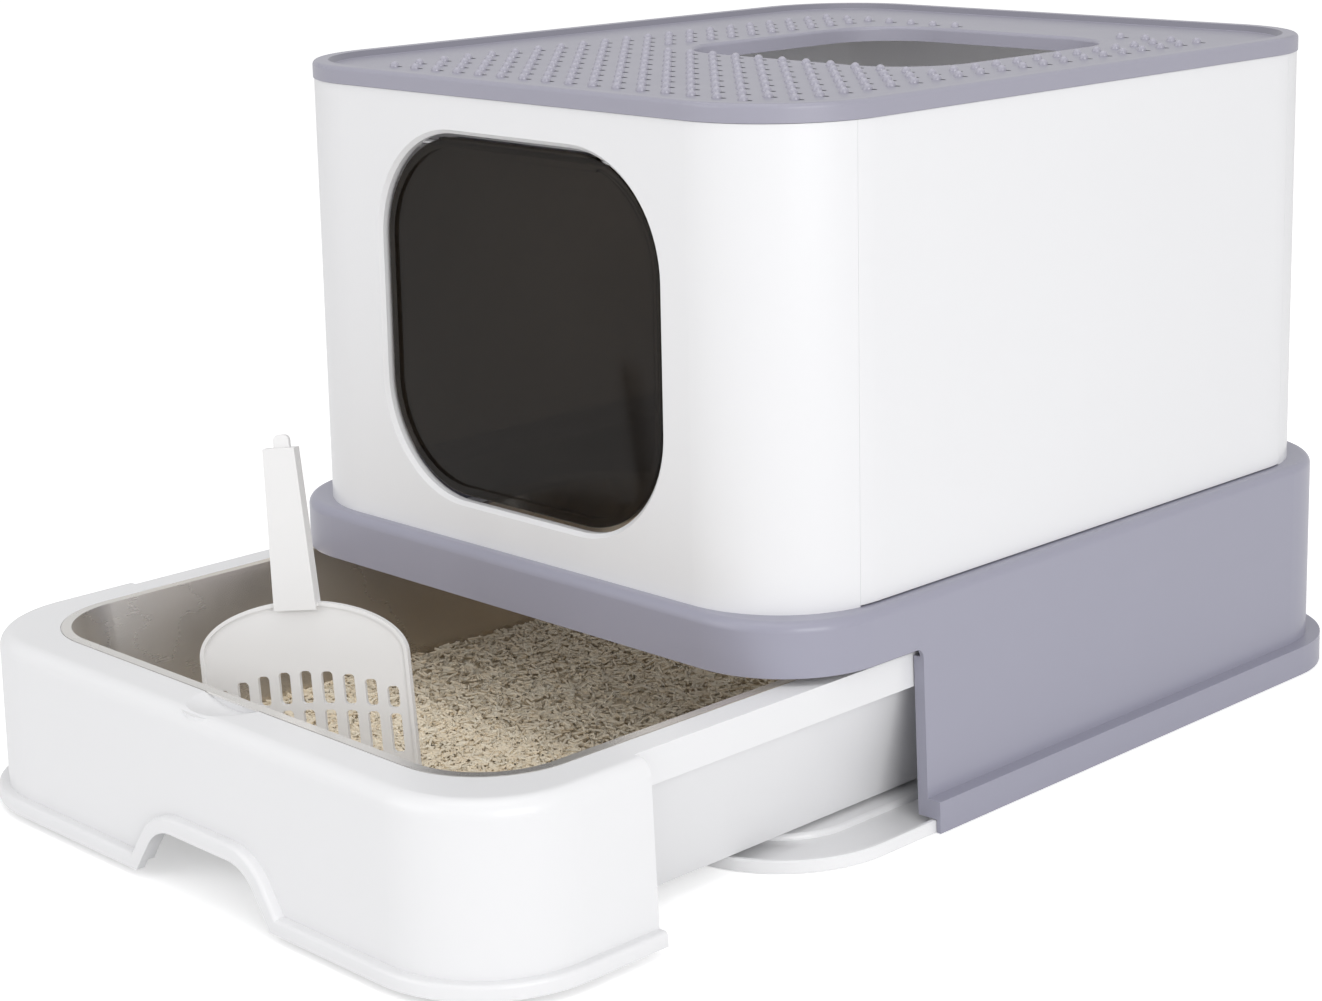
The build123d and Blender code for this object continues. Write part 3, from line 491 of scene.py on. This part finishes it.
def lid_grid(recipe):
    """Points of the lid's grid, without those over the hole, behind it or at the corner."""
    pitch, columns, rows = (recipe.given(key) for key in bump_grid)
    width, depth = (recipe.maths("MULTIPLY", recipe.maths("SUBTRACT", count, 1.0), pitch)
                    for count in (columns, rows))
    grid = recipe.add("GeometryNodeMeshGrid", None,
                      {"Size X": width, "Size Y": depth, "Vertices X": columns, "Vertices Y": rows})
    moved = recipe.change(grid.outputs[0], Translation=(*grid_centre, 0.0))
    spot = recipe.add("GeometryNodeInputPosition").outputs[0]
    x, y = recipe.add("ShaderNodeSeparateXYZ", None, {0: spot}).outputs[:2]
    over_hole = recipe.both(*(recipe.maths("LESS_THAN", recipe.away(value, centre), size / 2 + hole_margin)
                              for value, centre, size in zip((x, y), hole_centre, hole_size)))
    at_corner = recipe.both(*(recipe.maths("GREATER_THAN", recipe.maths("ABSOLUTE", value), edge)
                              for value, edge in zip((x, y), corner_from)))
    behind_hole = recipe.both(recipe.maths("LESS_THAN", recipe.away(x, strip_centre), strip_half),
                              recipe.maths("GREATER_THAN", y, strip_from))
    left_out = recipe.maths("MAXIMUM", recipe.maths("MAXIMUM", over_hole, at_corner), behind_hole)
    return recipe.drop(moved, left_out)


# The bumps carry the lighter grey, a painted highlight.
bumps = Recipe("lid_bump_grid", **bump_grid, Radius=bump_radius, Height=bump_height, Level=float(deck_level),
               Material=grey_bump_highlight)
ball = bumps.add("GeometryNodeMeshUVSphere", None, {"Segments": 14, "Rings": 8, "Radius": 1.0}).outputs[0]
spot = bumps.add("GeometryNodeInputPosition").outputs[0]
level = bumps.add("ShaderNodeSeparateXYZ", None, {0: spot}).outputs[2]
half = bumps.drop(ball, bumps.maths("LESS_THAN", level, ball_cut))
size = bumps.vector(bumps.given("Radius"), bumps.given("Radius"), bumps.given("Height"))
domes = bumps.set_out(lid_grid(bumps), bumps.change(half, Scale=size))
bumps.close(bumps.change(domes, Translation=bumps.vector(z=bumps.given("Level"))))
lid_bumps = bumps.bake(blank("lid_bumps"))
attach(lid_bumps, "lid")

# %% [markdown]
# Beside each bump lies a small dark drain slot. It is a hollow less than 3 mm wide, so a dark, matt lozenge
# just above the deck is enough to show it from any side: its dark colour is painted shade for the slot's
# inside.

# %% Lid drain slots, painted as shade
slot_length, slot_width = 4.6 * mm, 2.6 * mm
slot_beside, slot_behind = 3.4 * mm, 0.6 * mm
above_deck = 0.05 * mm
# Painted shade: the lozenge's near-black colour stands for the dark inside of each slot.
bench = material_bench("slot_shade")
slot_tone = bench.blend((0.04, 0.039, 0.048), (0.07, 0.068, 0.082), bench.noise(200.0))
slot_shade = bench.finish(Base_Color=slot_tone, Roughness=0.9, Specular_IOR_Level=0.1)
drains = Recipe("lid_slot_shade_grid", **bump_grid, Length=slot_length, Width=slot_width, Beside=slot_beside,
                Behind=slot_behind, Level=float(deck_level) + above_deck, Material=slot_shade)
plate = drains.add("GeometryNodeMeshCircle", {"fill_type": "NGON"}, {"Vertices": 10, "Radius": 0.5})
outline = drains.vector(drains.given("Length"), drains.given("Width"), 1.0)
lozenge = drains.change(plate.outputs[0], Scale=outline)
spread = drains.set_out(lid_grid(drains), lozenge)
shift = drains.vector(drains.given("Beside"), drains.given("Behind"), drains.given("Level"))
drains.close(drains.change(spread, Translation=shift))
lid_slot_shades = drains.bake(blank("lid_slot_shades"), smooth=False)
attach(lid_slot_shades, "lid")

# %% [markdown]
# Thousands of pellets lie on the bed. Points are scattered over a patch with a fixed seed and heaved a
# little by a noise, so that the litter isn't flat. Each point gets a four-sided rod with its own heading,
# tilt and length. Four sides, left open at the ends, are enough for a rod that is a pixel or two thick.
# Two patches keep each piece light; the near one is the denser.

# %% Litter pellets
bed_low, bed_high = (Vector(c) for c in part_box("litter_bed"))
patch_inset, patch_corner = 4.0 * mm, 42 * mm
arc_steps = 8
rod_length, rod_radius = 6.6 * mm, 0.75 * mm
heave, swell_per_metre, flat_below = 5.0 * mm, 16.0, 0.36
layer_low, layer_high = 0.3 * mm, 2.2 * mm
tilt, full_turn = (0.5, 0.32), 6.283
shortest, longest = 0.45, 1.25
thinnest, thickest = 0.85, 1.15
seam_y, seam_gap = -0.225, 0.5 * mm


def patch_outline(front, rear, round_front, round_rear):
    """The outline between two places along the drawer, with round corners only at the bed's own ends."""
    left, right_edge = bed_low.x + patch_inset, bed_high.x - patch_inset
    points = []
    for edge_x, edge_y, start, rounded in ((right_edge, rear, 0, round_rear), (left, rear, 90, round_rear),
                                           (left, front, 180, round_front),
                                           (right_edge, front, 270, round_front)):
        if not rounded:
            points.append((edge_x, edge_y, bed_high.z))
            continue
        centre_x = edge_x + (patch_corner if edge_x == left else -patch_corner)
        centre_y = edge_y + (patch_corner if edge_y == front else -patch_corner)
        for step in range(arc_steps + 1):
            angle = math.radians(start + step * 90 / arc_steps)
            points.append((centre_x + patch_corner * math.cos(angle),
                           centre_y + patch_corner * math.sin(angle), bed_high.z))
    return points


def random_value(recipe, kind, low, high):
    """A random number, or vector, for each point."""
    made = recipe.add("FunctionNodeRandomValue", {"data_type": kind},
                      {"Min": low, "Max": high, "Seed": recipe.given("Seed")})
    return next(s for s in made.outputs if s.type == {"FLOAT": "VALUE", "FLOAT_VECTOR": "VECTOR"}[kind])


def pellet_patch(name, low_y, high_y, per_square_metre, seed):
    """A layer of rods on the bed between two places along the drawer."""
    front, rear = max(low_y, bed_low.y + patch_inset), min(high_y, bed_high.y - patch_inset)
    outline = patch_outline(front, rear, low_y <= bed_low.y, high_y >= bed_high.y)
    piece = blank(name)
    piece.data.from_pydata(outline, [], [tuple(range(len(outline)))])
    recipe = Recipe(name, Density=float(per_square_metre), Seed=seed, Length=rod_length, Radius=rod_radius,
                    Heave=heave, Material=pellet_fibre)
    points = recipe.add("GeometryNodeDistributePointsOnFaces", None,
                        {"Mesh": recipe.given("Geometry"), "Density": recipe.given("Density"),
                         "Seed": recipe.given("Seed")}).outputs[0]
    spot = recipe.add("GeometryNodeInputPosition").outputs[0]
    swell = recipe.add("ShaderNodeTexNoise", None,
                       {"Vector": spot, "Scale": swell_per_metre, "Detail": 2.0}).outputs[0]
    rise = recipe.maths("MULTIPLY", recipe.maths("SUBTRACT", swell, flat_below), recipe.given("Heave"))
    layer = random_value(recipe, "FLOAT", layer_low, layer_high)
    lift = recipe.vector(z=recipe.maths("ADD", recipe.maths("MAXIMUM", rise, 0.0), layer))
    heaved = recipe.add("GeometryNodeSetPosition", None, {"Geometry": points, "Offset": lift}).outputs[0]
    rod = recipe.add("GeometryNodeMeshCylinder", {"fill_type": "NONE"},
                     {"Vertices": 4, "Radius": recipe.given("Radius"), "Depth": recipe.given("Length")})
    flat = recipe.change(rod.outputs[0], Rotation=(0.0, math.pi / 2, 0.0))
    heading = random_value(recipe, "FLOAT_VECTOR", (-tilt[0], -tilt[1], 0.0), (*tilt, full_turn))
    sizes = random_value(recipe, "FLOAT_VECTOR", (shortest, thinnest, thinnest),
                         (longest, thickest, thickest))
    recipe.close(recipe.set_out(heaved, flat, Rotation=heading, Scale=sizes))
    recipe.bake(piece, smooth=False)
    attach(piece, "drawer")


pellet_patch("front_pellets", bed_low.y, seam_y, per_square_metre=300000, seed=4)
pellet_patch("rear_pellets", seam_y + seam_gap, bed_high.y, per_square_metre=150000, seed=9)
